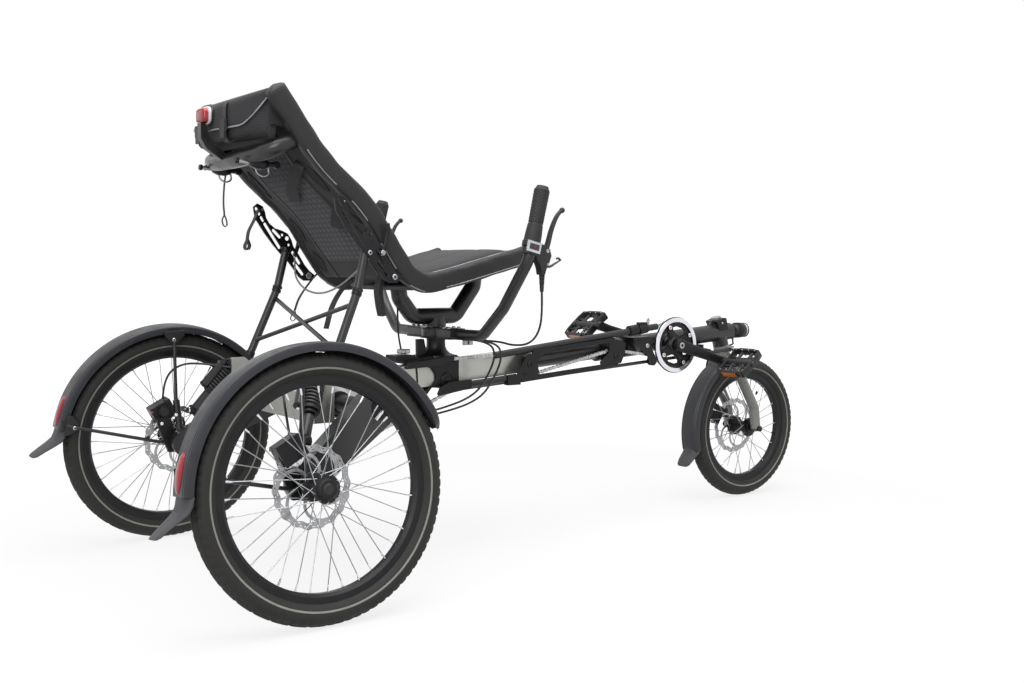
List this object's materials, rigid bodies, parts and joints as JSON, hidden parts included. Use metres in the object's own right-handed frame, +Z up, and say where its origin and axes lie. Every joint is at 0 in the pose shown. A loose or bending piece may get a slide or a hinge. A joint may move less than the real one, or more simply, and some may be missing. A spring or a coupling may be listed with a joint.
{
  "type": "recumbent tricycle",
  "caption": "Delta recumbent tricycle with two cambered rear wheels, one steered front wheel, mesh seat, side grips and a boom with cranks.",
  "frame": {"origin": "on the floor under the centre of the bounding box", "axes": "+X forward, +Y to the rider's left, +Z up"},
  "size_m": [2.06, 0.9046, 1.0123],
  "materials": {
    "tyre": "matt rubber",
    "rim": "satin black",
    "spokes": "satin",
    "rotor": "ground",
    "silver_frame": "satin silver-grey",
    "black_frame": "satin black",
    "black_plastic": "matt",
    "fender": "satin",
    "fabric": "woven",
    "grip": "ribbed",
    "chain": "bright",
    "ring": "polished",
    "red_lens": "gloss",
    "shock": "gloss black"
  },
  "bodies": {
    "frame": {"boom": "black_frame", "chain": "chain", "chain_adjuster": "black_frame", "chain_tubes": "black_plastic", "derailleur": "black_frame", "fender_stays": "black_frame", "frame_hoses": "black_plastic", "guide_wheels": "black_plastic", "head_bag": "fabric", "headlight": "black_plastic", "main_tube": "silver_frame", "pivot_housing": "black_frame", "pivot_tube": "black_frame", "rear_calipers": "black_frame", "rear_cross_member": "silver_frame", "rear_left_fender": "fender", "rear_light": "red_lens", "rear_loop": "black_frame", "rear_right_fender": "fender", "reflectors": "red_lens", "seat_back_mesh": "fabric", "seat_base": "fabric", "seat_carrier": "black_frame", "seat_cushion": "fabric", "seat_hinges": "black_frame", "seat_rails": "black_plastic", "seat_struts": "black_frame", "shocks": "shock", "sprockets": "chain", "swingarms": "black_frame"},
    "rear_left_wheel": {"rear_left_tyre": "tyre", "rear_left_rim": "rim", "rear_left_hub_spokes": "spokes", "rear_left_rotor": "rotor"},
    "rear_right_wheel": {"rear_right_tyre": "tyre", "rear_right_rim": "rim", "rear_right_hub_spokes": "spokes", "rear_right_rotor": "rotor"},
    "front_wheel": {"front_tyre": "tyre", "front_rim": "rim", "front_hub_spokes": "spokes", "front_rotor": "rotor"},
    "fork": {"fork": "silver_frame", "front_axle": "black_frame", "front_fender": "fender", "front_caliper": "black_frame", "fork_hose": "black_plastic"},
    "bar": {"steering_bar": "black_frame", "grips": "grip", "brake_levers": "black_plastic", "steering_column": "black_frame", "lever_hoses": "black_plastic"},
    "tie_rod": {"tie_rod": "black_frame"},
    "cranks": {"chainring": "ring", "chain_guard": "ring", "crank_left": "black_frame", "crank_right": "black_frame"},
    "pedal_left": {"pedal_left": "black_frame"},
    "pedal_right": {"pedal_right": "black_frame"}
  },
  "joints": [
    {"name": "rear_left_spin", "type": "hinge", "parent": "frame", "child": "rear_left_wheel", "pos_m": [-0.71, 0.408, 0.24976], "axis": [0, 0.9957, 0.0924], "continuous": true},
    {"name": "rear_right_spin", "type": "hinge", "parent": "frame", "child": "rear_right_wheel", "pos_m": [-0.71, -0.408, 0.24976], "axis": [0, 0.9957, -0.0924], "continuous": true},
    {"name": "steering", "type": "hinge", "parent": "frame", "child": "bar", "pos_m": [-0.214, 0, 0.5], "axis": [0, 0, 1], "range_deg": [-30, 30]},
    {"name": "fork_turn", "type": "hinge", "parent": "frame", "child": "fork", "pos_m": [0.744, 0, 0.412], "axis": [-0.2588, 0, 0.9659], "range_deg": [-30, 30]},
    {"name": "tie_rod_swing", "type": "hinge", "parent": "bar", "child": "tie_rod", "pos_m": [-0.214, -0.032, 0.36558], "axis": [0, 0.0092, 1], "range_deg": [-30, 30]},
    {"name": "front_spin", "type": "hinge", "parent": "fork", "child": "front_wheel", "pos_m": [0.83, 0, 0.2], "axis": [0, 1, 0], "continuous": true},
    {"name": "crank_spin", "type": "hinge", "parent": "frame", "child": "cranks", "pos_m": [0.512, 0, 0.45012], "axis": [0, 1, 0], "continuous": true},
    {"name": "pedal_left_spin", "type": "hinge", "parent": "cranks", "child": "pedal_left", "pos_m": [0.34943, 0.069, 0.49982], "axis": [0, 1, 0], "continuous": true},
    {"name": "pedal_right_spin", "type": "hinge", "parent": "cranks", "child": "pedal_right", "pos_m": [0.67457, -0.069, 0.40041], "axis": [0, 1, 0], "continuous": true}
  ],
  "couplings": [
    {"joint": "fork_turn", "follows": "steering", "ratio": 1},
    {"joint": "tie_rod_swing", "follows": "steering", "ratio": -1}
  ]
}
